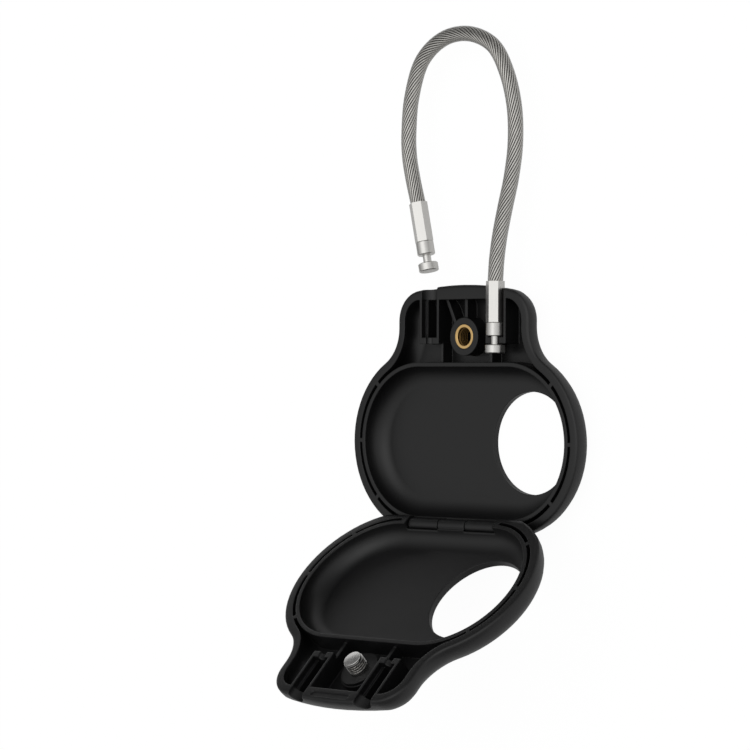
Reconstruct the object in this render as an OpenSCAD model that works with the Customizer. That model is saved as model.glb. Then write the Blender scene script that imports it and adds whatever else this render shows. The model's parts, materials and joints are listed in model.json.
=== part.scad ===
// Hinged clamshell holder for a pill-shaped tracker tag, with a wire rope loop.
// The rear shell lies on its back. +X runs along the hinge towards the window,
// +Y runs from the hinge to the neck, and +Z points out of the rear shell.
// The lid is drawn at the angle at which it stands open.

/* [Tag] */
// Length of the tag that the pocket takes
tag_l = 52.44; // [46:0.01:60]
// Width of the tag, which is also the width of its round ends
tag_w = 28.8; // [26:0.1:32]
// Thickness of the tag
tag_t = 8; // [6:0.1:10]
// Free space on each side of the tag
tag_gap = 0.3; // [0.1:0.05:0.6]
// Free space between the tag and each shell's floor
tag_play = 0.05; // [0:0.05:0.3]
// Radius of the window round the tag's ring
window_r = 9.9; // [6:0.1:11]
// Distance from the tag's middle to the middle of its ring
window_x = 14.7; // [12:0.1:16]

/* [Shells] */
// Thickness of the outer plates
plate_t = 1.3; // [0.9:0.05:2]
// Thickness of the outer side wall
wall_t = 1.8; // [1.4:0.1:2]
// Thickness of the wall round the pocket
tray_wall = 0.8; // [0.6:0.1:1.2]
// Width of the slot between the two walls
slot_w = 0.7; // [0.4:0.1:1]
// Radius between a shell's plate and its side
flank_r = 4.1; // [3.6:0.1:4.7]
// Radius of the rim's outer edge
rim_r = 0.5; // [0.2:0.1:0.8]
// Radius between the pocket's floor and its wall
pocket_edge = 3.5; // [2:0.1:4]
// Radius at the bottom of the hollows outside the pocket
hollow_r = 2.5; // [2:0.1:3.5]
// Gap between the two rims when the lid is shut
rim_gap = 0.1; // [0.05:0.05:0.3]
// Width of the bridges across the slot
bridge_w = 0.8; // [0.5:0.1:1.5]

/* [Neck] */
// Width of the neck
neck_w = 34.7; // [33:0.1:37]
// Distance from the pocket's wall to the end of the neck
neck_l = 15.1; // [14:0.1:17]
// Radius of the hollow curve between body and neck
neck_fillet = 8; // [5:0.1:10]
// Radius of the neck's two corners
neck_corner = 6; // [5.8:0.1:7]
// How far the neck's flank slopes inwards, from the rim to the plate
neck_flank = 5.5; // [4:0.1:5.6]
// Radius of the slight curve across the end of the neck
crown_r = 75; // [60:1:200]
// Thickness of the wall at the end of the neck
end_wall = 2.8; // [1.8:0.1:3]
// Thickness of the ribs in the neck
rib_t = 0.7; // [0.5:0.1:1]
// Depth of the cross ribs below the rim
rib_drop = 1.2; // [0.8:0.1:2]

/* [Hinge] */
// Radius of the hinge knuckles
knuckle_r = 1.25; // [1.1:0.05:1.4]
// Radius of the hinge pin
pin_r = 0.6; // [0.4:0.05:0.7]
// Radial clearance of the pin in the lid's knuckle
pin_play = 0.05; // [0.02:0.01:0.1]
// Length of the lid's middle knuckle
knuckle_mid = 6.9; // [5:0.1:9]
// Length of each of the rear shell's two knuckles
knuckle_side = 7.6; // [5:0.1:9]
// Gap between neighbouring knuckles
knuckle_gap = 0.3; // [0.2:0.05:0.5]
// Distance of the hinge axis inside the outer side
hinge_inset = 1.85; // [1.75:0.05:2.2]
// Height of the hinge axis above the rear shell's rim
hinge_rise = 1.75; // [1.7:0.05:2.2]
// Angle at which the lid is drawn, where 0 is shut
lid_open = 134; // [0:1:140]

/* [Screw] */
// Distance from the pocket's wall to the middle of the screw
screw_gap = 5.05; // [4.7:0.05:5.5]
// Outer radius of the screw's thread
screw_r = 1.95; // [1.5:0.05:2]
// Radius of the screw's head
head_r = 3.4; // [3:0.1:3.6]
// Height of the screw's head
head_h = 1.45; // [1:0.05:1.6]
// Width across the flats of the socket in the head
socket_af = 2.5; // [2:0.1:3]
// Depth of the socket in the head
socket_depth = 0.9; // [0.6:0.1:1]
// How far the screw slides between backed out and seated
screw_travel = 2; // [1:0.1:2]
// Thickness of the washer that keeps the screw in the lid
washer_t = 0.3; // [0.2:0.05:0.5]
// Outer radius of that washer
washer_r = 3.9; // [3:0.1:4.1]
// Outer radius of the brass insert
insert_r = 2.4; // [2.2:0.05:2.6]
// Radial clearance between the screw's thread and the insert
thread_play = 0.05; // [0.02:0.01:0.1]
// Length of the insert
insert_l = 3.4; // [2.5:0.1:3.4]
// Radius of the rear shell's boss
boss_r = 3.7; // [3.4:0.1:4]
// Depth of the rear boss below the rim
boss_drop = 0.6; // [0.4:0.1:1]
// Radius of the lid's boss
lid_boss_r = 4.3; // [4:0.1:4.6]
// Depth of the lid's boss below the lid's rim
lid_boss_drop = 2.75; // [2.6:0.05:2.9]
// Thickness of plastic under the screw's head
head_seat = 1.15; // [1:0.05:1.3]

/* [Rope] */
// Radius of the clear sleeve round the rope
sleeve_r = 1.5; // [1.3:0.05:1.6]
// Radius of the wire rope inside the sleeve
rope_r = 1.2; // [0.9:0.05:1.25]
// Width across the flats of a ferrule's hexagon
hex_af = 3.2; // [3:0.05:3.4]
// Length of a ferrule's hexagon
hex_l = 7.9; // [6:0.1:9]
// Radius of a ferrule's collar
collar_r = 1.75; // [1.6:0.05:1.9]
// Length of a ferrule's collar
collar_l = 2.65; // [2:0.05:3]
// Radius of a ferrule's thin waist
waist_r = 0.8; // [0.6:0.05:1]
// Length of a ferrule's waist
waist_l = 1.65; // [1.4:0.05:2]
// Radius of the button at a ferrule's end
button_r = 1.95; // [1.8:0.05:2]
// Length of the button
button_l = 1.65; // [1.2:0.05:2]
// Distance of each ferrule's channel from the middle
channel_x = 8.85; // [8.6:0.05:9.2]
// Distance from the pocket's wall to the end of the seated ferrule
seat_gap = 1.8; // [1.6:0.05:2]
// Free space round a ferrule in its channel
channel_gap = 0.12; // [0.1:0.01:0.2]
// Thickness of the fork that holds a ferrule's waist
fork_t = 1.25; // [1:0.05:1.4]

/* [Hidden] */
$fn = 96;

// Cutters run past a face by this much
over = 1;
// Pieces that are joined reach into each other by this much
bite = 0.2;

// Steps in the faceted curves
body_steps = 30;
curve_steps = 12;
crown_steps = 4;
edge_steps = 7;
rim_steps = 3;

// Pocket and outline
pocket_r = tag_w / 2 + tag_gap;
pocket_round = min(pocket_edge, tag_t / 2);
end_x = (tag_l - tag_w) / 2;
tray_r = pocket_r + tray_wall;
neck_end = tray_r + neck_l;
outline_r = tray_r + slot_w + wall_t;
shell_t = tag_t / 2 + tag_play + plate_t;

// The hollow curve touches the round end of the body and the side of the neck
fillet_x = neck_w / 2 + neck_fillet;
fillet_y = sqrt(pow(outline_r + neck_fillet, 2) - pow(fillet_x - end_x, 2));
fillet_turn = atan2(fillet_y, fillet_x - end_x);

// The neck's corners touch its sides and its slightly curved end
corner_x = neck_w / 2 - neck_corner;
crown_y = neck_end - crown_r;
corner_y = crown_y + sqrt(pow(crown_r - neck_corner, 2) - pow(corner_x, 2));
crown_turn = asin(corner_x / (crown_r - neck_corner));

// Hinge
hinge_y = -(outline_r - hinge_inset);
hinge_z = shell_t + hinge_rise;
knuckle_x = knuckle_mid / 2 + knuckle_gap + knuckle_side / 2;
hinge_half = knuckle_x + knuckle_side / 2;
// Distance from the hinge axis to the pocket, and the lid's web that fills it in part
pocket_reach = -hinge_y - pocket_r + bite;
hinge_web = -hinge_y - pocket_r - rim_r / 2;
land_half = hinge_half + bridge_w * 2;
// Free space between the turning lid and the rear shell's rim
heel_gap = 0.15;
heel_r = hinge_rise - heel_gap;
// Gap round a rear knuckle in the lid's wall
notch_gap = 0.3;
// How far inside the hinge axis the lid's gap for a rear knuckle's foot reaches
foot_reach = 0.6;
// Height of the web at the lid's knuckle below the hinge axis
web_drop = 0.4;
// Farthest that a rear knuckle's foot reaches from the hinge axis, with a gap
swing_r = norm([knuckle_r, hinge_rise]) + notch_gap;
// Angle at which the lid comes to rest on the rear shell's rim
lid_stop = 140;

// Ferrules and channels
rope_z = shell_t + rim_gap / 2;
seat_y = tray_r + seat_gap;
ferrule_l = hex_l + collar_l + waist_l + button_l;
channel_half = button_r + channel_gap;
// Thickness of the cheeks on both sides of a channel
cheek_t = 0.5;
// Width of the ledges that a hexagon's flats lie between
ledge_w = 0.55;
// Height of the ledges above a hexagon's lowest flat corner
ledge_rise = 0.3;
ledge_drop = hex_af / 2 - ledge_rise;
fork_y = seat_y + button_l + (waist_l - fork_t) / 2;
ferrule_top_y = seat_y + ferrule_l;

// Screw and insert
screw_y = tray_r + screw_gap;
insert_bore = screw_r + thread_play;
seat_depth = lid_boss_drop + head_seat;
// Distance of the backed-out screw's tip from the insert when the lid is shut
tip_clear = 0.15;
tip_depth = tip_clear - boss_drop - rim_gap;
// Distances of the slanting rib's ends from the middle, in the boss and at the end wall
slant_boss_x = 1.6;
slant_wall_x = 5.2;
// Radial clearance of the screw in the lid's hole
hole_play = 0.2;
hole_r = screw_r + hole_play;
// Radial clearance of the screw's head
head_play = 0.3;
counterbore_r = head_r + head_play;
// Depth and clearance of the groove that the washer sits in
groove_depth = 0.4;
neck_r = screw_r - groove_depth;
washer_play = 0.07;
// Size of a small broken edge
edge_break = 0.15;

// Slot in the end of the lid for a fingernail or a coin
pry_l = 10;
pry_w = 1.3;
pry_depth = 0.25;

// Route of the wire rope, from the seated ferrule to the free one
rope_route = [[channel_x, ferrule_top_y], [9.2, 35.4], [10, 40], [11.3, 45.1], [12.9, 50.9],
              [13.9, 57.4], [13.6, 64.4], [11.6, 71.1], [8, 76.5], [1.7, 79.2], [-5.2, 78.7],
              [-10.9, 74.8], [-13.7, 68], [-14.5, 61], [-14.3, 56.2], [-13.3, 51.6],
              [-11.9, 46.9]];
// Turn of the free ferrule about its rope end
free_tilt = 12.9;
// Gap between the rope and the bore of its sleeve
sleeve_gap = 0.05;
rope_sides = 8;
rings_per_leg = 3;

// Points on an arc, with the given number of steps. Its radius may grow on the way.
function arc(centre, r, from, to, steps, growth = 0) =
    [for (k = [0:steps])
        let (a = from + (to - from) * k / steps)
        centre + (r + growth * k / steps) * [cos(a), sin(a)]];

// A list of points without its first one, for arcs that carry on from each other.
function rest(p) = [for (k = [1:len(p) - 1]) p[k]];

// The right half of the outline, from the hinge side to the middle of the neck's end,
// moved in by one inset at the body and by another at the neck.
function half_outline(inset, neck) = concat(
    arc([end_x, 0], outline_r - inset, -90, fillet_turn, body_steps),
    rest(arc([fillet_x, fillet_y], neck_fillet + inset, 180 + fillet_turn, 180, curve_steps,
             neck - inset)),
    arc([corner_x, corner_y], neck_corner - neck, 0, 90 - crown_turn, curve_steps),
    rest(arc([0, crown_y], crown_r - neck, 90 - crown_turn, 90, crown_steps)));

// The whole outline, moved in by the two insets, anticlockwise.
function outline(inset, neck) =
    let (half = half_outline(inset, neck), n = len(half))
    concat(half, [for (k = [2:n]) [-half[n - k].x, half[n - k].y]]);

// The insets and heights of a rounded lower edge, from the bottom up.
function low_edge(inset, base, edge, top) =
    let (full = min(90, acos(1 - min(1, (top - base) / edge))))
    [for (k = [0:edge_steps])
        let (a = full * k / edge_steps)
        [inset + edge * (1 - sin(a)), base + edge * (1 - cos(a))]];

// The insets and heights of the rim's rounded outer edge, from below.
function rim_edge() =
    [for (k = [0:rim_steps])
        let (a = 90 * k / rim_steps)
        [rim_r * (1 - cos(a)), shell_t - rim_r + rim_r * sin(a)]];

// A solid whose outline follows the holder's at each inset and height in the list. The
// neck's inset is the same one times a factor.
module layers(levels, neck_factor) {
    rings = [for (l = levels) outline(l[0], l[0] * neck_factor)];
    n = len(rings[0]);
    last = len(levels) - 1;
    hub = [0, screw_y / 2];
    points = concat([for (j = [0:last], p = rings[j]) [p.x, p.y, levels[j][1]]],
                    [for (j = [0, last]) [hub.x, hub.y, levels[j][1]]]);
    sides = [for (j = [0:last - 1], k = [0:n - 1])
        let (a = j * n + k, b = j * n + (k + 1) % n)
        each [[a, a + n, b + n], [a, b + n, b]]];
    lower = [for (k = [0:n - 1]) [k, (k + 1) % n, (last + 1) * n]];
    upper = [for (k = [0:n - 1]) [last * n + (k + 1) % n, last * n + k, (last + 1) * n + 1]];
    polyhedron(points = points, faces = concat(sides, lower, upper));
}

// The outside of a shell, which has a straight part between its two rounded edges.
module outside() {
    side_z = shell_t - rim_r;
    side_r = min(flank_r, side_z - edge_break);
    layers(concat(low_edge(0, 0, side_r, side_z), rim_edge()), neck_flank / side_r);
}

// The space inside the outer wall.
module inside() {
    base = plate_t + edge_break;
    layers(concat(low_edge(wall_t, base, hollow_r, shell_t), [[wall_t, shell_t + over]]), 1);
}

// Profile of the pocket's edge: the wall is at x = 0 and the pocket lies on its left.
module pocket_edge_2d() {
    difference() {
        translate([-pocket_round - bite, plate_t])
            square([pocket_round + bite, shell_t - plate_t + over]);
        translate([-pocket_round, plate_t])
            difference() {
                square(pocket_round);
                translate([0, pocket_round])
                    circle(pocket_round);
            }
    }
}

// A flat stadium, two round ends joined by a square.
module stadium_2d(r) {
    for (s = [-1, 1])
        translate([s * end_x, 0])
            circle(r);
    translate([-end_x, -r])
        square([end_x * 2, r * 2]);
}

// The tag's pocket, a stadium with a rounded lower edge.
module pocket() {
    for (s = [0, 180])
        rotate([0, 0, s]) {
            translate([end_x, 0, 0])
                rotate([0, 0, -90])
                    rotate_extrude(angle = 180)
                        translate([pocket_r, 0])
                            pocket_edge_2d();
            translate([0, -pocket_r, 0])
                rotate([90, 0, -90])
                    linear_extrude(height = end_x * 2, center = true)
                        pocket_edge_2d();
        }
    translate([0, 0, plate_t])
        linear_extrude(height = shell_t - plate_t + over)
            stadium_2d(pocket_r - pocket_round);
}

// A straight rib between two points, as wide as t and centred on the line.
module rib(from, to, t, top) {
    run = to - from;
    translate(from)
        rotate([0, 0, atan2(run.y, run.x)])
            translate([0, -t / 2, 0])
                cube([norm(run), t, top]);
}

// The cheeks, ledges and fork that hold one ferrule, centred on x = 0.
module channel() {
    wall_y = neck_end - end_wall + bite;
    for (s = [-1, 1]) {
        cheek_x = s * (channel_half + cheek_t / 2);
        ledge_x = s * (channel_half - ledge_w / 2);
        rib([cheek_x, fork_y], [cheek_x, wall_y], cheek_t, shell_t);
        rib([ledge_x, fork_y + fork_t], [ledge_x, wall_y], ledge_w, shell_t - ledge_drop);
    }
    difference() {
        translate([-channel_half - cheek_t, fork_y, 0])
            cube([(channel_half + cheek_t) * 2, fork_t, shell_t]);
        fork_notch();
    }
}

// The open notch in the fork, round at its bottom.
module fork_notch() {
    notch_r = waist_r + channel_gap;
    translate([0, fork_y - over, shell_t])
        rotate([-90, 0, 0])
            cylinder(r = notch_r, h = fork_t + over * 2);
}

// The ribs that stand in the neck of both shells.
module neck_ribs(boss) {
    wall_y = neck_end - end_wall + bite;
    low = shell_t - rib_drop;
    inner_x = channel_x - channel_half - cheek_t / 2;
    if (boss) {
        rib([0, screw_y], [0, wall_y], rib_t, low);
        rib([-slant_boss_x, screw_y], [-slant_wall_x, wall_y], rib_t, low);
    }
    for (s = [-1, 1]) {
        translate([s * channel_x, 0, 0])
            channel();
        rib([s * inner_x, pocket_r], [s * inner_x, fork_y + bite], rib_t, low);
    }
}

// The small bridges between the pocket's wall and the outer wall.
module bridges() {
    for (s = [-1, 1], a = [-45, 0, 45])
        translate([s * end_x, 0, 0])
            rotate([0, 0, 90 - s * 90 + s * a])
                translate([tray_r - bite, -bridge_w / 2, 0])
                    cube([slot_w + bite * 2, bridge_w, shell_t]);
}

// The hollow between the outer wall and the pocket's wall, less what stands in it.
module hollow(boss) {
    difference() {
        inside();
        linear_extrude(height = shell_t + over * 2)
            stadium_2d(tray_r);
        translate([-neck_w / 2, neck_end - end_wall, 0])
            cube([neck_w, end_wall + over, shell_t]);
        translate([-land_half, -outline_r, 0])
            cube([land_half * 2, outline_r - pocket_r, shell_t]);
        bridges();
        neck_ribs(boss);
        if (boss)
            translate([0, screw_y, 0])
                cylinder(r = boss_r, h = shell_t - boss_drop);
        else
            translate([0, screw_y, 0])
                cylinder(r = lid_boss_r, h = shell_t - lid_boss_drop);
    }
}

// One shell before its hinge: plate, walls, pocket, window, channels and ribs.
module shell(boss) {
    difference() {
        outside();
        hollow(boss);
        pocket();
        translate([window_x, 0, -over])
            cylinder(r = window_r, h = shell_t);
        for (s = [-1, 1])
            translate([s * channel_x, neck_end - end_wall - bite, shell_t])
                rotate([-90, 0, 0])
                    cylinder(r = channel_half, h = end_wall + over * 2);
    }
}

// A cylinder along the hinge axis, centred on x.
module hinge_rod(x, r, length) {
    translate([x, hinge_y, hinge_z])
        rotate([0, 90, 0])
            cylinder(r = r, h = length, center = true);
}

module rear_shell() {
    color("dimgray")
        difference() {
            union() {
                shell(true);
                for (s = [-1, 1]) {
                    hinge_rod(s * knuckle_x, knuckle_r, knuckle_side);
                    translate([s * knuckle_x - knuckle_side / 2, hinge_y - knuckle_r, shell_t - over])
                        cube([knuckle_side, knuckle_r * 2, hinge_rise + over]);
                }
            }
            hinge_rod(0, pin_r, hinge_half * 2 + over);
            translate([0, screw_y, shell_t - boss_drop - insert_l])
                cylinder(r = insert_r, h = insert_l + over);
        }
}

// The lid as it lies when shut, before it is opened.
module lid_shut() {
    lid_top = shell_t * 2 + rim_gap;
    difference() {
        union() {
            difference() {
                translate([0, 0, lid_top])
                    mirror([0, 0, 1])
                        shell(false);
                heel_relief();
                knuckle_gap_cut(0, knuckle_mid, outline_r, -web_drop);
                knuckle_gap_cut(0, knuckle_mid, 0, swing_r);
            }
            hinge_rod(0, knuckle_r, knuckle_mid);
            translate([-knuckle_mid / 2, hinge_y, hinge_z - web_drop])
                cube([knuckle_mid, hinge_web, web_drop + knuckle_r]);
        }
        for (s = [-1, 1])
            knuckle_notch(s * knuckle_x);
        hinge_rod(0, pin_r + pin_play, hinge_half * 2);
        screw_hole();
        pry_slot();
    }
}

// Rounds off the lid's heel so that it turns clear of the rear shell's rim, and cuts
// the flat that comes to lie along the rim when the lid is fully open.
module heel_relief() {
    wide = outline_r * 4;
    translate([0, hinge_y, hinge_z]) {
        difference() {
            for (a = [0, 90 - lid_stop])
                rotate([a, 0, 0])
                    translate([-wide / 2, -outline_r, -outline_r])
                        cube([wide, outline_r, outline_r]);
            rotate([0, 90, 0])
                cylinder(r = heel_r, h = wide + over, center = true);
        }
        rotate([-lid_stop, 0, 0])
            translate([-wide / 2, -outline_r, -outline_r])
                cube([wide, outline_r, outline_r - heel_r]);
    }
}

// A cut from the lid's rim to a height above the hinge axis, as wide as a knuckle with
// its gaps, from the outside to a distance inside the hinge axis.
module knuckle_gap_cut(x, length, inside, rise) {
    wide = length + knuckle_gap * 2;
    translate([x - wide / 2, hinge_y - outline_r, shell_t])
        cube([wide, outline_r + min(inside, pocket_reach), hinge_rise + rise]);
}

// The gap in the lid's wall in which one of the rear shell's knuckles turns.
module knuckle_notch(x) {
    reach = knuckle_r + notch_gap;
    hinge_rod(x, reach, knuckle_side + knuckle_gap * 2);
    knuckle_gap_cut(x, knuckle_side, reach, 0);
    knuckle_gap_cut(x, knuckle_side, foot_reach, swing_r);
}

// The stepped hole for the screw and its head.
module screw_hole() {
    rim = shell_t + rim_gap;
    translate([0, screw_y, rim - over])
        cylinder(r = hole_r, h = shell_t + over * 2);
    translate([0, screw_y, rim + seat_depth])
        cylinder(r = counterbore_r, h = shell_t);
}

// The shallow slot in the end of the lid, for a fingernail or a coin.
module pry_slot() {
    span = (pry_l - pry_w) / 2;
    pry_y = neck_end - end_wall / 2;
    for (s = [-1, 1])
        translate([s * span, pry_y, shell_t])
            cylinder(r = pry_w / 2, h = rim_gap + pry_depth);
    translate([-span, pry_y - pry_w / 2, shell_t])
        cube([span * 2, pry_w, rim_gap + pry_depth]);
}

// Turns what belongs to the lid about the hinge, to where the lid stands open.
module opened() {
    translate([0, hinge_y, hinge_z])
        rotate([lid_open, 0, 0])
            translate([0, -hinge_y, -hinge_z])
                children();
}

module front_shell() {
    color("slategray")
        opened()
            lid_shut();
}

module hinge_pin() {
    color("silver")
        hinge_rod(0, pin_r, hinge_half * 2);
}

module threaded_insert() {
    color("goldenrod")
        translate([0, screw_y, shell_t - boss_drop - insert_l])
            difference() {
                cylinder(r = insert_r, h = insert_l);
                translate([0, 0, -over])
                    cylinder(r = insert_bore, h = insert_l + over * 2);
                translate([0, 0, insert_l - edge_break * 2])
                    cylinder(r1 = insert_bore, r2 = insert_bore + edge_break * 4, h = edge_break * 4);
            }
}

// A turned length with both edges broken.
module turned(r, h) {
    cylinder(r1 = r - edge_break, r2 = r, h = edge_break);
    translate([0, 0, edge_break])
        cylinder(r = r, h = h - edge_break * 2);
    translate([0, 0, h - edge_break])
        cylinder(r1 = r, r2 = r - edge_break, h = edge_break);
}

// The screw backed out of the insert, with its groove for the washer.
module clamp_screw() {
    rim = shell_t + rim_gap;
    under_head = seat_depth + screw_travel;
    shank_l = under_head - tip_depth;
    groove_z = lid_boss_drop - washer_t - edge_break - tip_depth;
    color("lightgray")
        opened()
            translate([0, screw_y, rim + tip_depth])
                difference() {
                    union() {
                        turned(screw_r, shank_l);
                        translate([0, 0, shank_l - edge_break])
                            cylinder(r = neck_r, h = edge_break * 2);
                        translate([0, 0, shank_l])
                            turned(head_r, head_h);
                    }
                    translate([0, 0, groove_z - washer_play])
                        difference() {
                            cylinder(r = head_r, h = washer_t + washer_play * 2);
                            translate([0, 0, -over])
                                cylinder(r = neck_r, h = washer_t + over * 2);
                        }
                    translate([0, 0, shank_l + head_h - socket_depth])
                        cylinder(r = socket_af / sqrt(3), h = socket_depth + over, $fn = 6);
                }
}

module screw_washer() {
    groove_z = lid_boss_drop - washer_t - edge_break;
    color("darkslategray")
        opened()
            translate([0, screw_y, shell_t + rim_gap + groove_z])
                difference() {
                    cylinder(r = washer_r, h = washer_t);
                    translate([0, 0, -over])
                        cylinder(r = neck_r + washer_play, h = washer_t + over * 2);
                }
}

// A point on the smooth curve through four route points.
function between(a, b, c, d, t) =
    0.5 * ((2 * b) + (c - a) * t + (2 * a - 5 * b + 4 * c - d) * t * t
           + (3 * b - a - 3 * c + d) * t * t * t);

// The route with its ends carried on straight, so that the curve starts along the ferrule.
function carried(p) = concat([2 * p[0] - p[1]], p, [2 * p[len(p) - 1] - p[len(p) - 2]]);

// All the points of the rope's middle line.
function rope_line(p) =
    let (q = carried(p), last = len(p) - 2)
    concat([for (i = [0:last], k = [0:rings_per_leg - 1])
                between(q[i], q[i + 1], q[i + 2], q[i + 3], k / rings_per_leg)],
           [p[len(p) - 1]]);

// The direction of the line at one of its points.
function heading(p, i) =
    let (a = p[max(i - 1, 0)], b = p[min(i + 1, len(p) - 1)])
    (b - a) / norm(b - a);

// One ring of corners round the line.
function ring(p, i, r) =
    let (d = heading(p, i))
    [for (k = [0:rope_sides - 1])
        let (a = 360 * (k + 0.5) / rope_sides)
        [p[i].x - d.y * r * cos(a), p[i].y + d.x * r * cos(a), rope_z + r * sin(a)]];

// Two triangles for each side between two rings, where start numbers the first corner.
function skin(rings, start, flip) =
    [for (i = [0:rings - 2], k = [0:rope_sides - 1])
        let (n = (k + 1) % rope_sides,
             a = start + i * rope_sides + k, b = start + i * rope_sides + n,
             c = a + rope_sides, d = b + rope_sides)
        each flip ? [[a, b, d], [a, d, c]] : [[a, d, b], [a, c, d]]];

// A solid bar along the rope's line.
module rope_bar(line, r) {
    rings = len(line);
    first = [for (k = [1:rope_sides - 2]) [0, k, k + 1]];
    base = (rings - 1) * rope_sides;
    last = [for (k = [1:rope_sides - 2]) [base, base + k + 1, base + k]];
    polyhedron(points = [for (i = [0:rings - 1]) each ring(line, i, r)],
               faces = concat(skin(rings, 0, false), first, last));
}

// A hollow tube along the rope's line.
module rope_tube(line, r_out, r_in) {
    rings = len(line);
    inner = rings * rope_sides;
    ends = [for (e = [0, rings - 1], k = [0:rope_sides - 1])
        let (n = (k + 1) % rope_sides, a = e * rope_sides + k, b = e * rope_sides + n)
        each e == 0 ? [[a, b, inner + b], [a, inner + b, inner + a]]
                    : [[a, inner + b, b], [a, inner + a, inner + b]]];
    polyhedron(points = concat([for (i = [0:rings - 1]) each ring(line, i, r_out)],
                               [for (i = [0:rings - 1]) each ring(line, i, r_in)]),
               faces = concat(skin(rings, 0, false), skin(rings, inner, true), ends));
}

module wire_rope() {
    color("gray")
        rope_bar(rope_line(rope_route), rope_r);
}

module rope_sleeve() {
    color("lightsteelblue")
        rope_tube(rope_line(rope_route), sleeve_r, rope_r + sleeve_gap);
}

// A ferrule whose rope end is at the origin and whose button points to -Y.
module ferrule() {
    rotate([90, 0, 0]) {
        rotate([0, 0, 30])
            cylinder(r = hex_af / sqrt(3), h = hex_l, $fn = 6);
        translate([0, 0, hex_l - edge_break])
            cylinder(r = waist_r, h = edge_break * 2);
        translate([0, 0, hex_l])
            turned(collar_r, collar_l);
        translate([0, 0, hex_l + collar_l - edge_break])
            cylinder(r = waist_r, h = waist_l + edge_break * 2);
        translate([0, 0, hex_l + collar_l + waist_l])
            turned(button_r, button_l);
    }
}

module seated_ferrule() {
    color("gainsboro")
        translate([channel_x, ferrule_top_y, rope_z])
            ferrule();
}

module free_ferrule() {
    end = rope_route[len(rope_route) - 1];
    color("gainsboro")
        translate([end.x, end.y, rope_z])
            rotate([0, 0, free_tilt])
                ferrule();
}

rear_shell();
front_shell();
hinge_pin();
threaded_insert();
clamp_screw();
screw_washer();
wire_rope();
rope_sleeve();
seated_ferrule();
free_ferrule();
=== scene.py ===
# %% [markdown]
# # A hinged holder with a wire rope loop
#
# This lesson dresses a packed CAD model of a small moulded holder. The CAD shells keep
# their shape and get clean normals. The rope, its clear sleeve and the threads get the
# fine forms that the CAD leaves out. Every finish is made of shader nodes alone.
#
# Lengths are in metres, in the frame of the CAD model: +X runs along the hinge, +Y runs
# from the hinge to the neck, and +Z points out of the rear shell's open side. Small forms
# are easier to read in millimetres, so they are multiplied by MM.

# %% Set up
import json
import math

import bmesh
import bpy
from mathutils import Matrix, Vector


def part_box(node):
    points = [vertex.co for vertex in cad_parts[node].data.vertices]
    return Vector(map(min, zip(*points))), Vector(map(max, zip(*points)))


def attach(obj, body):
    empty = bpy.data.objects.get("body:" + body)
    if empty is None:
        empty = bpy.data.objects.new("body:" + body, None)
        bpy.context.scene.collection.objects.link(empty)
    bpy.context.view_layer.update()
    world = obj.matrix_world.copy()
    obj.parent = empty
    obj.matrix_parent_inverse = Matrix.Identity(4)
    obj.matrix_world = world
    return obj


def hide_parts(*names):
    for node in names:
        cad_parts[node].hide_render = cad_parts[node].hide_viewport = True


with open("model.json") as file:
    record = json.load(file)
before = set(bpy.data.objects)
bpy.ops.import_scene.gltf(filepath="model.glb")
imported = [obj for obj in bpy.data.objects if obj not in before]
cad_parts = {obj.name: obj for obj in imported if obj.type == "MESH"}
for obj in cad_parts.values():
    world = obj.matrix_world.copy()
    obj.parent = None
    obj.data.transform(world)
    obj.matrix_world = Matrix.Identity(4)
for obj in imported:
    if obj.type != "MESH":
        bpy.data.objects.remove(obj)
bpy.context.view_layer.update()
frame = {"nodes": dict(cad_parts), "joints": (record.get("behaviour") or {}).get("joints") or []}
nodes = frame["nodes"]
joints = {joint["name"]: joint for joint in frame["joints"]}
MM = 0.001
print("CAD nodes:", ", ".join(sorted(nodes)))
print("Joints:", ", ".join(sorted(joints)))

# %% [markdown]
# ## The camera
#
# The camera stands level, 45 degrees to the right of the rear shell's front, and uses a
# long lens, so that parallel edges stay nearly parallel. Three numbers say how it is
# turned, and a target and a distance say where it stands. A rotation matrix of its own
# three axes is safer here than a Track To constraint, which can't give the small roll.

# %% The camera
AZIMUTH = math.radians(44.938)
ELEVATION = math.radians(-0.056)
ROLL = math.radians(0.213)
TARGET = Vector((-23.76, 13.031, 5.35)) * MM
DISTANCE = 610.68 * MM
FOCAL_PIXELS = 3059.76
PICTURE_PIXELS = 750
SENSOR_MM = 36
CLIP_RANGE = (0.05, 20)

towards = Vector((math.sin(AZIMUTH) * math.cos(ELEVATION), math.sin(ELEVATION),
                  math.cos(AZIMUTH) * math.cos(ELEVATION)))
level = Vector((math.cos(AZIMUTH), 0, -math.sin(AZIMUTH)))
upright = towards.cross(level)
right = level * math.cos(ROLL) + upright * math.sin(ROLL)
up = upright * math.cos(ROLL) - level * math.sin(ROLL)

lens = bpy.data.cameras.new("camera")
lens.sensor_width = SENSOR_MM
lens.lens = FOCAL_PIXELS / PICTURE_PIXELS * SENSOR_MM
lens.clip_start, lens.clip_end = CLIP_RANGE
camera = bpy.data.objects.new("camera", lens)
bpy.context.scene.collection.objects.link(camera)
camera.matrix_world = Matrix.Translation(TARGET + towards * DISTANCE) @ Matrix(
    (right, up, towards)).transposed().to_4x4()
bpy.context.scene.camera = camera
print("Camera at", tuple(round(v, 3) for v in camera.location), "lens", round(lens.lens, 1))

# %% [markdown]
# ## How a piece is finished
#
# Every new piece ends the same way. Its normals are recalculated, its faces are shaded
# smooth, and edges that turn by more than a given angle stay sharp. A copy of a CAD mesh
# still carries the normals that it was imported with. They would smear the crisp edges of
# slots and ribs, so they are removed. The object stays at the origin with its place in its
# mesh, and it rides on one body of the frame, which carries it when a joint moves.

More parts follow.
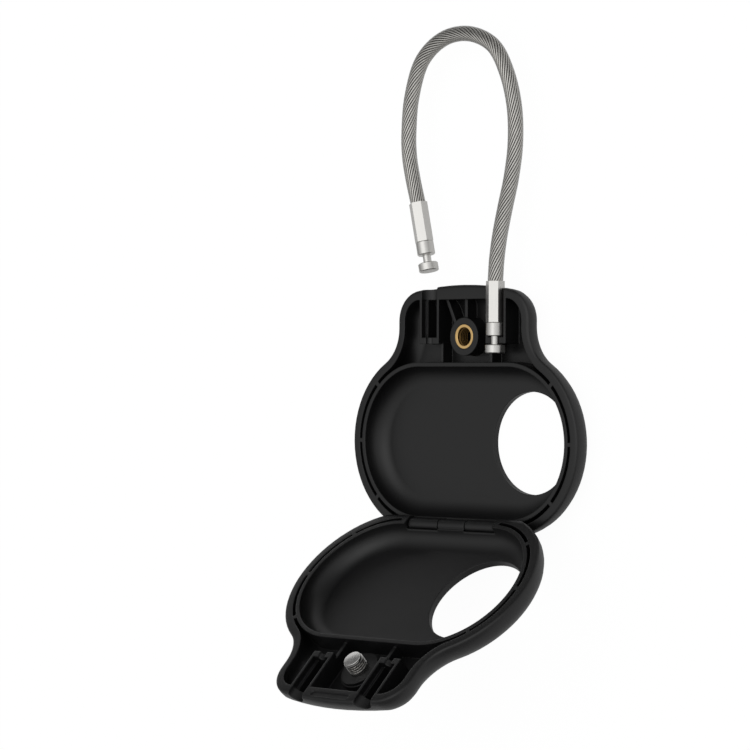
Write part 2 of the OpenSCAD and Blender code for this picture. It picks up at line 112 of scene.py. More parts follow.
# %% How a piece is finished
def finish_piece(name, bm, material, body, smooth_angle):
    """Turn a bmesh into an object that rides on a body of the frame."""
    mesh = bpy.data.meshes.new(name)
    bmesh.ops.recalc_face_normals(bm, faces=bm.faces)
    bm.to_mesh(mesh)
    bm.free()
    if "custom_normal" in mesh.attributes:
        mesh.attributes.remove(mesh.attributes["custom_normal"])
    for polygon in mesh.polygons:
        polygon.use_smooth = True
    mesh.set_sharp_from_angle(angle=math.radians(smooth_angle))
    mesh.materials.append(material)
    piece = bpy.data.objects.new(name, mesh)
    bpy.context.scene.collection.objects.link(piece)
    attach(piece, body)
    print(f"{name}: {len(mesh.polygons)} faces")
    return piece


# %% [markdown]
# ## A socket that does arithmetic
#
# A shader tree of Math nodes is hard to read when it is linked by hand. `Wire` wraps one
# socket, and plus, minus and times on it make Math nodes. The reflected forms let a number
# come first, as in `1 - mask`. Every other node comes from the method `node`.

# %% A socket that does arithmetic
class Wire:
    """A shader socket that arithmetic can be done with."""

    def __init__(self, tree, socket):
        self.tree = tree
        self.socket = socket

    def node(self, kind, out=0, inputs=None, **settings):
        """Make a node of any kind and give one of its outputs."""
        made = self.tree.nodes.new(kind)
        for key, value in settings.items():
            setattr(made, key, value)
        for key, value in (inputs or {}).items():
            if isinstance(value, Wire):
                self.tree.links.new(value.socket, made.inputs[key])
            else:
                made.inputs[key].default_value = value
        return Wire(self.tree, made.outputs[out])

    def math(self, operation, *values):
        """Make a Math node from values in their order."""
        return self.node("ShaderNodeMath", inputs=dict(enumerate(values)), operation=operation)

    def vector(self, operation, first, second=None, out="Vector"):
        """Make a Vector Math node from one vector or two."""
        inputs = {0: first} if second is None else {0: first, 1: second}
        return self.node("ShaderNodeVectorMath", out=out, inputs=inputs, operation=operation)

    def __add__(self, other):
        return self.math("ADD", self, other)

    def __radd__(self, other):
        return self.math("ADD", other, self)

    def __sub__(self, other):
        return self.math("SUBTRACT", self, other)

    def __rsub__(self, other):
        return self.math("SUBTRACT", other, self)

    def __mul__(self, other):
        return self.math("MULTIPLY", self, other)

    def __rmul__(self, other):
        return self.math("MULTIPLY", other, self)

    def spread(self, from_low, from_high, low=0.0, high=1.0):
        """Stretch a range of values to another one, and stop at its ends."""
        return self.node("ShaderNodeMapRange", inputs={0: self, 1: from_low, 2: from_high,
                                                       3: low, 4: high})


print("Wire can:", ", ".join(name for name in vars(Wire) if not name.startswith("_")))

# %% [markdown]
# ## A finish
#
# A `Finish` is one Principled material with Object coordinates to draw its patterns on, so
# that a pattern has a real size and stays with the piece. Real edges are never perfectly
# sharp. A bevel in the mesh could round them, but it easily breaks a dense CAD mesh. A
# Bevel node rounds only the normals, and where the rounded normal differs from the plain
# one there is an edge that use has polished.

# %% A finish
BUMP_STRENGTH = 0.5
EDGE_DIFFERENCE = (0.01, 0.16)
BEVEL_SAMPLES = 6


class Finish:
    """A new material with its Principled shader, and Object coordinates to draw on."""

    def __init__(self, name, **constants):
        self.material = bpy.data.materials.new(name)
        self.material.use_nodes = True
        self.tree = self.material.node_tree
        self.tree.nodes.clear()
        self.shader = self.tree.nodes.new("ShaderNodeBsdfPrincipled")
        output = self.tree.nodes.new("ShaderNodeOutputMaterial")
        self.tree.links.new(self.shader.outputs[0], output.inputs["Surface"])
        for key, value in constants.items():
            self.shader.inputs[key.replace("_", " ")].default_value = value
        coordinates = self.tree.nodes.new("ShaderNodeTexCoord")
        self.place = Wire(self.tree, coordinates.outputs["Object"])
        print("Finish:", name)

    def vary(self, socket, wire):
        """Let a pattern drive one of the shader's sockets."""
        self.tree.links.new(wire.socket, self.shader.inputs[socket])

    def noise(self, scale, detail):
        """Noise whose grains are about 1 / scale metres wide."""
        return self.place.node("ShaderNodeTexNoise", inputs={
            "Vector": self.place, "Scale": scale, "Detail": detail})

    def along(self, axis):
        """Distance along an axis, in metres."""
        return self.place.vector("DOT_PRODUCT", self.place, axis, out="Value")

    def rounded(self, radius):
        """The surface's direction, as if its sharp edges had this radius."""
        return self.place.node("ShaderNodeBevel", inputs={"Radius": radius},
                               samples=BEVEL_SAMPLES)

    def edges(self, radius):
        """1 along the edges and 0 on the faces, for wear and polish."""
        plain = self.place.node("ShaderNodeNewGeometry", out="Normal")
        same = plain.vector("DOT_PRODUCT", self.rounded(radius), plain, out="Value")
        return (1 - same).spread(*EDGE_DIFFERENCE)

    def colour(self, wire, dark, light):
        """Colours from dark to light as the pattern goes from 0 to 1."""
        ramp = self.place.node("ShaderNodeMix", out=2, data_type="RGBA", inputs={
            0: wire, 6: dark + (1,), 7: light + (1,)})
        self.vary("Base Color", ramp)

    def bump(self, height, distance, edge_radius=0.0):
        """Let a height pattern tilt the surface, and round its edges for the light."""
        inputs = {"Height": height, "Distance": distance, "Strength": BUMP_STRENGTH}
        if edge_radius:
            inputs["Normal"] = self.rounded(edge_radius)
        self.vary("Normal", height.node("ShaderNodeBump", inputs=inputs))


print("Bump strength:", BUMP_STRENGTH)

# %% [markdown]
# ## A line, and a round bar along it
#
# The rope, its sleeve and its wires are all round sections pulled along a line. A curve
# object with a bevel depth could do that too, but it can't store how far out each corner
# stands. So a ring of corners is extruded and moved on, from one point to the next.

# %% A line, and a round bar along it
LOOP_NORMAL = Vector((0, 0, 1))


def smooth_line(route, steps):
    """Points on a smooth curve through the route, with this many steps between two of them."""
    ends = [route[0] * 2 - route[1]] + route + [route[-1] * 2 - route[-2]]
    points = []
    for a, b, c, d in zip(ends, ends[1:], ends[2:], ends[3:]):
        for k in range(steps):
            t = k / steps
            points.append(0.5 * (2 * b + (c - a) * t + (2 * a - 5 * b + 4 * c - d) * t ** 2
                                 + (3 * b - a - 3 * c + d) * t ** 3))
    return points + [route[-1]]


def headings(line):
    """The direction of the line at each of its points."""
    last = len(line) - 1
    return [(line[min(i + 1, last)] - line[max(i - 1, 0)]).normalized()
            for i in range(last + 1)]


def sweep(bm, line, radius, sides, outwards=None):
    """Pull a round section along the line and close both ends. Gives its rings of corners."""
    rings = []
    for i, (point, ahead) in enumerate(zip(line, headings(line))):
        side = outwards[i] if outwards else ahead.cross(LOOP_NORMAL)
        side = (side - ahead * side.dot(ahead)).normalized()
        place = Matrix((side, ahead.cross(side), ahead)).transposed().to_4x4()
        place.translation = point
        if not rings:
            made = bmesh.ops.create_circle(bm, segments=sides, radius=radius, matrix=place)
            rings.append(made["verts"])
            edges = list({e for v in rings[0] for e in v.link_edges})
        else:
            made = bmesh.ops.extrude_edge_only(bm, edges=edges)
            ring = [g for g in made["geom"] if isinstance(g, bmesh.types.BMVert)]
            edges = [g for g in made["geom"] if isinstance(g, bmesh.types.BMEdge)
                     and g.verts[0] in ring and g.verts[1] in ring]
            bmesh.ops.transform(bm, verts=ring, matrix=place @ before.inverted())
            rings.append(ring)
        before = place
    bmesh.ops.contextual_create(bm, geom=rings[0])
    bmesh.ops.contextual_create(bm, geom=rings[-1])
    return rings


print("The rope's loop lies flat, at right angles to", tuple(LOOP_NORMAL))

# %% [markdown]
# ## The rope's route
#
# The rope is a stiff steel loop about 97 mm long. It leaves the seated ferrule straight
# up, bends over in one arch and comes straight into the free ferrule. Its points are the
# same as in the CAD model. Arcs of circles could join them too, but a smooth curve through
# the points is easier to correct, one point at a time.

# %% The rope's route
ROUTE_MM = [(8.85, 31.15), (9.2, 35.4), (10, 40), (11.3, 45.1), (12.9, 50.9), (13.9, 57.4),
            (13.6, 64.4), (11.6, 71.1), (8, 76.5), (1.7, 79.2), (-5.2, 78.7), (-10.9, 74.8),
            (-13.7, 68), (-14.5, 61), (-14.3, 56.2), (-13.3, 51.6), (-11.9, 46.9)]
ROPE_Z = 5.4
STEPS_BETWEEN_POINTS = 28

route = [Vector((x, y, ROPE_Z)) * MM for x, y in ROUTE_MM]
centre_line = smooth_line(route, STEPS_BETWEEN_POINTS)
rope_length = sum((b - a).length for a, b in zip(centre_line, centre_line[1:]))
print("Rope length:", round(rope_length / MM, 2), "mm")

# %% [markdown]
# ## The clear sleeve
#
# A skin of clear plastic keeps the rope's wires from scratching. One sees through it
# where it is faced, and sees the skin itself where one looks along its wall, at the
# rope's two sides. A Layer Weight node gives that angle. It drives Alpha here instead of
# a glass shader, because the wires then stay sharp and the render stays quick.

# %% The clear sleeve
SLEEVE_R = 1.5
SLEEVE_SIDES = 32
SLEEVE_GREY = (0.16, 0.16, 0.155, 1)
SLEEVE_IOR = 1.48


def clear_sleeve():
    """Thin clear plastic that shows at its edges, where one looks along its wall."""
    finish = Finish("sleeve_clear", Base_Color=SLEEVE_GREY, IOR=SLEEVE_IOR)
    turned = finish.place.node("ShaderNodeLayerWeight", out="Facing", inputs={"Blend": 0.5})
    haze = finish.noise(scale=900, detail=2)
    finish.vary("Alpha", turned.spread(0.42, 0.80, low=0.02, high=0.55) + haze * 0.04)
    finish.vary("Roughness", haze * 0.10 + 0.12)
    return finish.material


sleeve_mesh = bmesh.new()
sweep(sleeve_mesh, centre_line, SLEEVE_R * MM, SLEEVE_SIDES)
sleeve = finish_piece("rope_sleeve_clear", sleeve_mesh, clear_sleeve(), "rear",
                      smooth_angle=60)
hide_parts("rope_sleeve")

# %% [markdown]
# ## Steel wires with dark valleys
#
# The wires are bright where they stand out, and the valleys between them get painted shade.
# An Ambient Occlusion node could find the valleys, but it costs many rays. Instead, each
# corner of a wire stores an attribute, crown, that is 1 on its outer side and 0 halfway
# down. The finish reads it, so that the painted shade follows every turn of the wires.

# %% Steel wires with dark valleys
VALLEY_SHADE = (0.034, 0.030, 0.026)
WIRE_STEEL = (0.70, 0.685, 0.65)


def rope_steel():
    """Bright drawn wires with painted shade in the valleys between them."""
    finish = Finish("rope_steel", Metallic=1.0)
    crown = finish.place.node("ShaderNodeAttribute", out="Fac", attribute_name="crown")
    cloud = finish.noise(scale=700, detail=3)
    # Painted shade: the valleys between the wires are coloured dark, as the shadow there.
    unshaded = (crown + (cloud - 0.5) * 0.20).spread(0.36, 0.90)
    finish.colour(unshaded, VALLEY_SHADE, WIRE_STEEL)
    finish.vary("Roughness", cloud * 0.10 + (1 - unshaded) * 0.25 + 0.30)
    finish.bump(finish.noise(scale=6000, detail=2), 0.004 * MM)
    return finish.material


wire_finish = rope_steel()

# %% [markdown]
# ## The rope's wires
#
# Sixteen outer wires wind round a core. A round sleeve magnifies what is inside it, as a
# full glass does, so the wires are laid out to just under its skin. Each wire is a thin
# bar that is swept along a helix round the rope's line. A twisted texture would be quicker
# to make, but it would have no real outline and no real shadows.

# %% The rope's wires
ROPE_R = 1.42
CORE_SIDES = 12
WIRES = 16
WIRE_R = 0.235
WIRE_SIDES = 8
LAY_ANGLE = math.radians(-21)
CORE_DEPTH_SHARE = 1.3


def helix_round(line, start, radius):
    """Points on a helix round the line, and the direction outwards at each of them."""
    points = []
    outwards = []
    gone = 0.0
    for i, (point, ahead) in enumerate(zip(line, headings(line))):
        gone += (point - line[max(i - 1, 0)]).length
        angle = start + gone * math.tan(LAY_ANGLE) / radius
        side = ahead.cross(LOOP_NORMAL).normalized()
        outwards.append(side * math.cos(angle) + side.cross(ahead) * math.sin(angle))
        points.append(point + outwards[-1] * radius)
    return points, outwards


def wound_wire(bm, line, start, radius, wire_r):
    """Add one wire that winds round the line, starting at an angle given in radians."""
    path, outwards = helix_round(line, start, radius)
    wire = bmesh.new()
    crown = wire.verts.layers.float.new("crown")
    rings = sweep(wire, path, wire_r, WIRE_SIDES, outwards)
    for point, out, ring in zip(path, outwards, rings):
        for corner in ring:
            corner[crown] = (corner.co - point).dot(out) / wire_r
    made = bpy.data.meshes.new("one_wire")
    wire.to_mesh(made)
    wire.free()
    bm.from_mesh(made)
    bpy.data.meshes.remove(made)


strand_mesh = bmesh.new()
strand_mesh.verts.layers.float.new("crown")
sweep(strand_mesh, centre_line, (ROPE_R - WIRE_R * CORE_DEPTH_SHARE) * MM, CORE_SIDES)
for k in range(WIRES):
    wound_wire(strand_mesh, centre_line, 2 * math.pi * k / WIRES, (ROPE_R - WIRE_R) * MM,
               WIRE_R * MM)
strands = finish_piece("rope_wires", strand_mesh, wire_finish, "rear",
                       smooth_angle=80)
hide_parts("wire_rope")

# %% [markdown]
# ## What the rope is
#
# The point where the rope leaves the seated ferrule is printed.

# %% What the rope is
print("Cord starts at", tuple(round(v / MM, 2) for v in route[0]), "mm")

# %% [markdown]
# ## Black moulded plastic
#
# The real shells come out of a mould with a fine spark-eroded texture. Black plastic shows
# almost only what it reflects, and a dark grey pigment would look right from one side
# only. So the pigment is nearly pure black and the roughness does the work. It drifts
# slowly over the part, has a fine grain, and is lower on worn edges.

# %% Black moulded plastic
EDGE_ROUND = 0.30 * MM
GRAIN_DEPTH = 0.010 * MM
BLACK = (0.0024, 0.0024, 0.0026)
WORN_BLACK = (0.0062, 0.0062, 0.0066)


def moulded_plastic():
    """Black plastic: fine mould texture, polished edges, and gloss that drifts a little."""
    finish = Finish("shell_plastic", Specular_IOR_Level=0.5)
    grain = finish.noise(scale=7000, detail=3)
    drift = finish.noise(scale=90, detail=3)
    worn = finish.edges(EDGE_ROUND)
    finish.colour(drift * 0.55 + worn * 0.45, BLACK, WORN_BLACK)
    finish.vary("Roughness", drift * 0.08 + grain * 0.06 - worn * 0.04 + 0.34)
    finish.bump(grain, GRAIN_DEPTH, EDGE_ROUND)
    return finish.material


plastic = moulded_plastic()

# %% [markdown]
# ## The two shells
#
# The shells' form is finished in CAD, and remodelling it here could only make it worse. A
# CAD mesh is loose triangles, so each shell's mesh is copied, its doubled corners are
# joined, and it is shaded smooth wherever two faces meet at a small angle.

# %% The two shells
SHELL_SMOOTH_ANGLE = 32
MERGE_DISTANCE = 0.001 * MM


def smooth_copy(name, node, body):
    """A smoothly shaded copy of a CAD shell, which stands for it."""
    bm = bmesh.new()
    bm.from_mesh(nodes[node].data)
    bmesh.ops.remove_doubles(bm, verts=bm.verts, dist=MERGE_DISTANCE)
    piece = finish_piece(name, bm, plastic, body, SHELL_SMOOTH_ANGLE)
    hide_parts(node)


smooth_copy("rear_moulding", "rear_shell", "rear")
smooth_copy("front_moulding", "front_shell", "lid")

# %% [markdown]
# ## Turned steel for the ferrules and the hinge pin
#
# Both ferrules are turned from hexagon bar, and the pin is ground round. Turning and
# grinding leave fine rings round one axis. A noise in space would give clouds there, but a
# noise that reads only the distance along the axis gives rings. These pieces are simple,
# so they keep the meshes that CAD gave them and get only a finish.

# %% Turned steel for the ferrules and the hinge pin
FERRULE_STEEL = (0.71, 0.70, 0.675)
PIN_STEEL = (0.55, 0.55, 0.55)
SHADED_SHARE = 0.88
FREE_TILT = math.radians(12.9)


def turned_steel(name, axis, colour, low, high, ring_depth, edge_radius):
    """Steel with fine rings round its axis. Its roughness lies between low and high."""
    finish = Finish(name, Metallic=1.0)
    cloud = finish.noise(scale=260, detail=3)
    reach = finish.along(axis)
    ring = reach.node("ShaderNodeTexNoise", noise_dimensions="1D",
                      inputs={"W": reach, "Scale": 9000.0, "Detail": 2.0})
    shaded = tuple(value * SHADED_SHARE for value in colour)
    finish.colour(cloud * 0.6 + ring * 0.4, shaded, colour)
    finish.vary("Roughness", cloud * (high - low) + ring * 0.05 + low)
    finish.bump(ring, ring_depth, edge_radius)
    return finish.material


def repaint(node, material):
    """Give a CAD node its finish."""
    slots = nodes[node].data.materials
    slots.clear()
    slots.append(material)
    print(node, "is finished with", material.name)


free_axis = Vector((math.sin(FREE_TILT), -math.cos(FREE_TILT), 0))
repaint("hinge_pin", turned_steel("pin_steel", Vector((1, 0, 0)), PIN_STEEL, 0.25, 0.4,
                                  ring_depth=0.001 * MM, edge_radius=0.06 * MM))
repaint("seated_ferrule", turned_steel("ferrule_steel", Vector((0, 1, 0)), FERRULE_STEEL, 0.24,
                                       0.36, ring_depth=0.003 * MM, edge_radius=0.0))
repaint("free_ferrule", turned_steel("free_ferrule_steel", free_axis, FERRULE_STEEL, 0.24, 0.36,
                                     ring_depth=0.003 * MM, edge_radius=0.0))

# %% [markdown]
# ## Dark nylon for the washer
#
# The washer keeps the screw in the lid and shows as a dark disc round it. Cut nylon has a
# soft sheen and a slightly cloudy surface, so one noise drives all three of its sockets.

# %% Dark nylon for the washer
NYLON = (0.006, 0.006, 0.006)
PALE_NYLON = (0.014, 0.014, 0.014)


def washer_nylon():
    """Dark nylon with a soft sheen."""
    finish = Finish("washer_nylon")
    cloud = finish.noise(scale=1500, detail=3)
    finish.colour(cloud, NYLON, PALE_NYLON)
    finish.vary("Roughness", cloud * 0.15 + 0.40)
    finish.bump(cloud, 0.008 * MM, 0.08 * MM)
    return finish.material


repaint("screw_washer", washer_nylon())

# %% [markdown]
# ## A lathe and a thread
#
# A screw and an insert are both turned, so a profile that is spun once round the Z axis
# makes their bodies. A Screw modifier could wind the thread, but the spin operator can do
# it too: with a rise for every step, a small ridge climbs round the axis. Its two ends run
# out into the body.

# %% A lathe and a thread
LATHE_STEPS = 64
PITCH = 0.47
ROOT_OVERLAP = 0.06
RIDGE_FOOT_SHARE = 0.06
RIDGE_CREST_SHARE = 0.30


def lathe(bm, profile, closed=False):
    """Spin a profile of radii and heights, in millimetres, once round the Z axis."""
    corners = [bm.verts.new((r * MM, 0, z * MM)) for r, z in profile]
    pairs = list(zip(corners, corners[1:])) + ([(corners[-1], corners[0])] if closed else [])
    lines = [bm.edges.new(pair) for pair in pairs]
    bmesh.ops.spin(bm, geom=corners + lines, cent=(0, 0, 0), axis=(0, 0, 1),
                   angle=2 * math.pi, steps=LATHE_STEPS, use_merge=True)
    bmesh.ops.remove_doubles(bm, verts=bm.verts, dist=0.0001 * MM)


def sink_crest(ring, root, crest):
    """Bring an end's crest down to the root, so that the ridge runs out."""
    for corner in ring:
        flat = Vector((corner.co.x, corner.co.y))
        if abs(flat.length - crest * MM) < 0.01 * MM:
            flat = flat.normalized() * root * MM
            corner.co.x = flat.x
            corner.co.y = flat.y


def thread(bm, root, crest, low, high, steps):
    """A helical ridge round the Z axis, from root to crest, in millimetres."""
    into = math.copysign(ROOT_OVERLAP, root - crest)
    foot = PITCH * RIDGE_FOOT_SHARE
    shoulder = PITCH * RIDGE_CREST_SHARE
    section = [(root + into, low), (root, low + foot), (crest, low + shoulder),
               (crest, low + PITCH - shoulder), (root, low + PITCH - foot),
               (root + into, low + PITCH)]
    corners = [bm.verts.new((r * MM, 0, z * MM)) for r, z in section]
    lines = [bm.edges.new(pair) for pair in zip(corners, corners[1:] + corners[:1])]
    count = int(((high - low) / PITCH - 1) * steps)
    made = bmesh.ops.spin(bm, geom=corners + lines, cent=(0, 0, 0), axis=(0, 0, 1),
                          dvec=(0, 0, PITCH / steps * MM), angle=2 * math.pi * count / steps,
                          steps=count)
    last = [g for g in made["geom_last"] if isinstance(g, bmesh.types.BMVert)]
    for ring in (corners, last):
        sink_crest(ring, root, crest)
        bmesh.ops.contextual_create(bm, geom=ring)


print("Thread pitch:", PITCH, "mm")

# %% [markdown]
# ## Where the screw stands
#
# The screw is easiest to make upright, in the place that it has when the lid is shut. The
# frame gives the hinge's place and how far the lid stands open. The CAD screw, turned back
# by that angle, gives its own length and the height of its tip. It stands over the insert.
# Such numbers could be written down again, but those from the frame always fit the CAD.

# %% Where the screw stands
HINGE = Vector(joints["lid_hinge"]["pos_m"])
LID_TURN = math.radians(-joints["lid_hinge"]["range_deg"][0])
OPENING = Matrix.Rotation(LID_TURN, 3, "X")

shut_corners = [OPENING.inverted() @ (v.co - HINGE) + HINGE
                for v in nodes["clamp_screw"].data.vertices]
insert_low, insert_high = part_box("threaded_insert")
screw_y = (insert_low.y + insert_high.y) / 2
tip = Vector((0, screw_y, min(corner.z for corner in shut_corners)))
screw_length = max(corner.z for corner in shut_corners) - tip.z
print("Screw length:", round(screw_length / MM, 3), "mm, its tip at", round(tip.z / MM, 3))

# %% [markdown]
# ## Bright steel with dark thread roots
#
# A plated screw is bright on its crests and dark in its roots. Here that shade in the
# roots is painted into its colour. A second material on the roots would end in a hard
# line. The distance from the screw's axis tells crest from root without one: it is the
# length of the cross product of the axis and the arm from the tip. The tip's flat end
# gets no painted shade.

# %% Bright steel with dark thread roots
ROOT_SHADE = (0.012, 0.012, 0.011)
SCREW_STEEL = (0.93, 0.92, 0.90)
SHADE_FADE_RADIUS = (1.62 * MM, 1.86 * MM)
TIP_SHADE_FADE = (0.10 * MM, 0.24 * MM)


def threaded_steel(start, axis):
    """Bright steel with painted shade towards its thread roots, and an oily film."""
    finish = Finish("screw_steel", Metallic=1.0)
    cloud = finish.noise(scale=800, detail=3)
    arm = finish.place.vector("SUBTRACT", finish.place, start)
    reach = arm.vector("LENGTH", arm.vector("CROSS_PRODUCT", arm, axis), out="Value")
    depth = arm.vector("DOT_PRODUCT", arm, axis, out="Value")
    on_side = depth.spread(*TIP_SHADE_FADE)
    # Painted shade: the thread roots are coloured dark, away from the tip's flat end.
    root_shade = (1 - reach.spread(*SHADE_FADE_RADIUS)) * on_side
    finish.colour(cloud * 0.12 + (1 - root_shade) * 0.88, ROOT_SHADE, SCREW_STEEL)
    finish.vary("Roughness", cloud * 0.10 + root_shade * 0.20 + 0.22)
    finish.bump(finish.noise(scale=5000, detail=2), 0.003 * MM)
    return finish.material


open_tip = OPENING @ (tip - HINGE) + HINGE
screw_finish = threaded_steel(open_tip, OPENING @ Vector((0, 0, 1)))

# %% [markdown]
# ## The clamp screw
#
# The real screw has a rolled thread, a groove for its washer, and a round head with a
# hexagon socket. The profile runs from the tip up: a flat end with a rounded edge, the
# thread's root, the groove, the plain shank and the head. A Boolean could cut the socket,
# but it leaves untidy faces. Here a hexagon is bridged to the head's rim and then sunk.

# %% The clamp screw
TIP_FLAT_R = 1.60
THREAD_ROOT_R = 1.54
THREAD_CREST_R = 1.94
THREAD_LOW = 0.16
SHOULDER_R = 1.80
GROOVE_R = 1.55
GROOVE_LOW = 2.80
GROOVE_HIGH = 3.20
SHANK_R = 1.90
HEAD_R = 3.38
HEAD_L = 1.45
SOCKET_FLATS = 2.5
SOCKET_DEPTH = 0.9
SOCKET_RIM_R = 1.6

head_top = screw_length / MM
head_low = head_top - HEAD_L

end_profile = [(0, 0), (TIP_FLAT_R, 0), (TIP_FLAT_R + 0.12, 0.04), (TIP_FLAT_R + 0.16, 0.12),
               (THREAD_ROOT_R, 0.30)]
groove_profile = [(THREAD_ROOT_R, GROOVE_LOW - 0.12), (SHOULDER_R, GROOVE_LOW - 0.08),
                  (SHOULDER_R, GROOVE_LOW - 0.02), (GROOVE_R, GROOVE_LOW),
                  (GROOVE_R, GROOVE_HIGH), (SHANK_R, GROOVE_HIGH + 0.02),
                  (SHANK_R, GROOVE_HIGH + 0.06), (SHANK_R, head_low)]
head_profile = [(HEAD_R - 0.16, head_low), (HEAD_R - 0.04, head_low + 0.06),
                (HEAD_R, head_low + 0.18), (HEAD_R, head_top - 0.3),
                (HEAD_R - 0.08, head_top - 0.1), (HEAD_R - 0.26, head_top),
                (SOCKET_RIM_R, head_top)]

screw_mesh = bmesh.new()
lathe(screw_mesh, end_profile + groove_profile + head_profile)


def sink_socket(bm):
    """Bridge the open top of the head to a hexagon and sink it."""
    rim = [e for e in bm.edges if e.is_boundary]
    top = Matrix.Translation((0, 0, head_top * MM))
    made = bmesh.ops.create_circle(bm, segments=6, matrix=top,
                                   radius=SOCKET_FLATS / math.sqrt(3) * MM)
    hexagon = list({e for v in made["verts"] for e in v.link_edges})
    bmesh.ops.bridge_loops(bm, edges=rim + hexagon)
    sunk = bmesh.ops.extrude_edge_only(bm, edges=hexagon)["geom"]
    bottom = [g for g in sunk if isinstance(g, bmesh.types.BMVert)]
    bmesh.ops.translate(bm, verts=bottom, vec=(0, 0, -SOCKET_DEPTH * MM))
    bmesh.ops.contextual_create(bm, geom=bottom)


sink_socket(screw_mesh)
thread(screw_mesh, THREAD_ROOT_R, THREAD_CREST_R, THREAD_LOW, GROOVE_LOW - 0.02, steps=36)
bmesh.ops.translate(screw_mesh, verts=screw_mesh.verts, vec=tip)
bmesh.ops.rotate(screw_mesh, verts=screw_mesh.verts, cent=HINGE, matrix=OPENING)
screw = finish_piece("threaded_clamp_screw", screw_mesh, screw_finish, "screw",
                     smooth_angle=30)
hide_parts("clamp_screw")

# %% [markdown]
# ## Machined brass
#
# The insert's mouth is bright and yellow. Inside the bore hardly any light comes back, and
# the renderer finds that by itself. Shade is also painted into the colour, which falls off
# with the depth in the bore.

# %% Machined brass
BORE_SHADE_BRASS = (0.10, 0.055, 0.016)
BRIGHT_BRASS = (0.90, 0.60, 0.25)
BORE_SHADE_FADE_HEIGHT = (3.95 * MM, 4.62 * MM)


def machined_brass():
    """Brass with fine machining marks, and painted shade that darkens its bore."""
    finish = Finish("insert_brass", Metallic=1.0)
    cloud = finish.noise(scale=500, detail=3)
    # Painted shade: the colour darkens with the depth in the bore.
    mouth = finish.along(Vector((0, 0, 1))).spread(*BORE_SHADE_FADE_HEIGHT)
    finish.colour(cloud * 0.12 + mouth * 0.88, BORE_SHADE_BRASS, BRIGHT_BRASS)
    finish.vary("Roughness", cloud * 0.14 + 0.24)
    finish.bump(finish.noise(scale=9000, detail=2), 0.005 * MM, 0.08 * MM)
    return finish.material


brass_finish = machined_brass()

# %% [markdown]
# ## The brass insert
#
# A heat-set insert is a short brass bush that is melted into the boss. The profile is a
# closed ring this time, from the outer wall over the mouth into the bore, and the thread's
# crest lies inside its root.

# %% The brass insert
INSERT_R = 2.4
MOUTH_R = 1.86
THROAT_R = 1.76
BORE_R = 1.98
BORE_CREST_R = 1.72

insert_l = (insert_high.z - insert_low.z) / MM
insert_mesh = bmesh.new()
lathe(insert_mesh, [(INSERT_R, 0), (INSERT_R, insert_l - 0.06), (INSERT_R - 0.06, insert_l),
                    (MOUTH_R, insert_l), (THROAT_R, insert_l - 0.10),
                    (THROAT_R, insert_l - 0.26), (BORE_R, insert_l - 0.42), (BORE_R, 0)],
      closed=True)
thread(insert_mesh, BORE_R, BORE_CREST_R, 0.1, insert_l - 0.36, steps=28)
bmesh.ops.translate(insert_mesh, verts=insert_mesh.verts,
                    vec=Vector((0, screw_y, insert_low.z)))
insert = finish_piece("threaded_brass_insert", insert_mesh, brass_finish, "rear",
                      smooth_angle=30)
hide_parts("threaded_insert")

# %% [markdown]
# ## The white floor
#
# The floor should look white and still take a soft shadow. Plain white paint would come
# out grey. For rays from the camera the floor is mostly a glow of about 1, with a little
# paint that can be shaded. Mirrored rays see less of the glow, so that the metal keeps
# dark bands.

# %% The white floor
FLOOR_HALF = 3.0
CAMERA_GLOW_SHARE = 0.93
MIRROR_GLOW_SHARE = 0.28
FLOOR_GLOW = 1.04


def white_floor():
    """A white floor that keeps a faint shadow."""
    material = bpy.data.materials.new("floor_white")
    material.use_nodes = True
    tree = material.node_tree
    tree.nodes.clear()
    ray = tree.nodes.new("ShaderNodeLightPath")
    seen = Wire(tree, ray.outputs["Is Camera Ray"])
    mirrored = Wire(tree, ray.outputs["Is Glossy Ray"])
    passed = Wire(tree, ray.outputs["Is Transmission Ray"])
    paint = seen.node("ShaderNodeBsdfDiffuse", inputs={"Color": (0.8, 0.8, 0.8, 1)})
    glow = seen.node("ShaderNodeEmission", inputs={"Color": (1, 1, 1, 1),
                                                   "Strength": FLOOR_GLOW})
    share = (seen + passed) * CAMERA_GLOW_SHARE + mirrored * MIRROR_GLOW_SHARE
    both = seen.node("ShaderNodeMixShader", inputs={0: share, 1: paint, 2: glow})
    output = tree.nodes.new("ShaderNodeOutputMaterial")
    tree.links.new(both.socket, output.inputs["Surface"])
    return material


floor_mesh = bmesh.new()
bmesh.ops.create_grid(floor_mesh, x_segments=1, y_segments=1, size=FLOOR_HALF)
floor_data = bpy.data.meshes.new("floor")
floor_mesh.to_mesh(floor_data)
floor_mesh.free()
floor_data.materials.append(white_floor())
floor = bpy.data.objects.new("floor", floor_data)
bpy.context.scene.collection.objects.link(floor)
print("Floor:", 2 * FLOOR_HALF, "m wide")

# %% [markdown]
# ## The world's light
#
# The world is plain white for the camera. As a light it is brightest in front and a little
# to the right, and it falls off to the sides, below and up to the left. Black plastic then
# shows an even grey sheen, and metal shows bright and dark bands. A few large lamps could
# do the same, but the edges of each would show as hard lines in the plastic.

# %% The world's light
FRONT = (0.26, 0.0, 0.97)
UPWARDS = (0, 1, 0)
UP_LEFT = (-0.3, 1, 0)

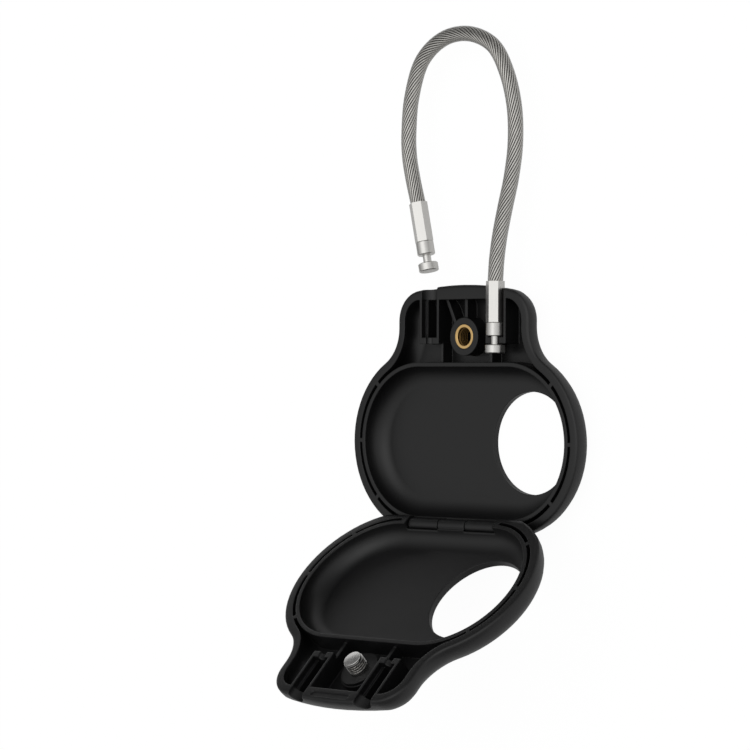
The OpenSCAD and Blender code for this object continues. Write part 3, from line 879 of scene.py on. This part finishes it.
world = bpy.data.worlds.new("studio")
bpy.context.scene.world = world
world.use_nodes = True
sky = world.node_tree
sky.nodes.clear()
sky_ray = sky.nodes.new("ShaderNodeLightPath")
seen = Wire(sky, sky_ray.outputs["Is Camera Ray"])
passed = Wire(sky, sky_ray.outputs["Is Transmission Ray"])
mirrored = Wire(sky, sky_ray.outputs["Is Glossy Ray"])
direction = Wire(sky, sky.nodes.new("ShaderNodeTexCoord").outputs["Generated"])


def towards_axis(axis):
    """How far the ray's direction agrees with an axis, from -1 to 1."""
    return direction.vector("DOT_PRODUCT", direction, Vector(axis).normalized(), out="Value")


front_glow = towards_axis(FRONT).spread(-0.40, 1.0, low=0.06, high=1.0)
from_below = towards_axis(UPWARDS).spread(-0.75, 0.05, low=0.46, high=1.0)
from_above = towards_axis(UP_LEFT).spread(0.10, 0.85, low=1.0, high=0.25)
light = front_glow * from_below * from_above + mirrored * 0.02
strength = seen.math("MAXIMUM", seen + passed, light)
backdrop = seen.node("ShaderNodeBackground", inputs={"Color": (1, 1, 1, 1),
                                                     "Strength": strength})
sky_output = sky.nodes.new("ShaderNodeOutputWorld")
sky.links.new(backdrop.socket, sky_output.inputs["Surface"])
print("World nodes:", len(sky.nodes))

# %% [markdown]
# ## One soft lamp
#
# A large square lamp above the front adds a soft highlight and a direction to the light.
# The colours are shown as they are, with the Standard view transform.

# %% One soft lamp
LAMP_PLACE = Vector((0.10, 0.35, 0.85))
LAMP_AIM = Vector((0, 0.02, 0.01))
LAMP_SIZE = 0.8
LAMP_WATTS = 1.0

key_light = bpy.data.lights.new("key", "AREA")
key_light.size = LAMP_SIZE
key_light.energy = LAMP_WATTS
key = bpy.data.objects.new("key", key_light)
key.location = LAMP_PLACE
key.rotation_euler = (LAMP_AIM - LAMP_PLACE).to_track_quat("-Z", "Y").to_euler()
bpy.context.scene.collection.objects.link(key)
bpy.context.scene.view_settings.view_transform = "Standard"
print("Lamp:", LAMP_WATTS, "W,", LAMP_SIZE, "m wide")

# %% [markdown]
# ## The sizes, and the end
#
# The dressed model may differ from the CAD model's box by a tenth of a millimetre at the
# top, because the rope is rounder here than in CAD.
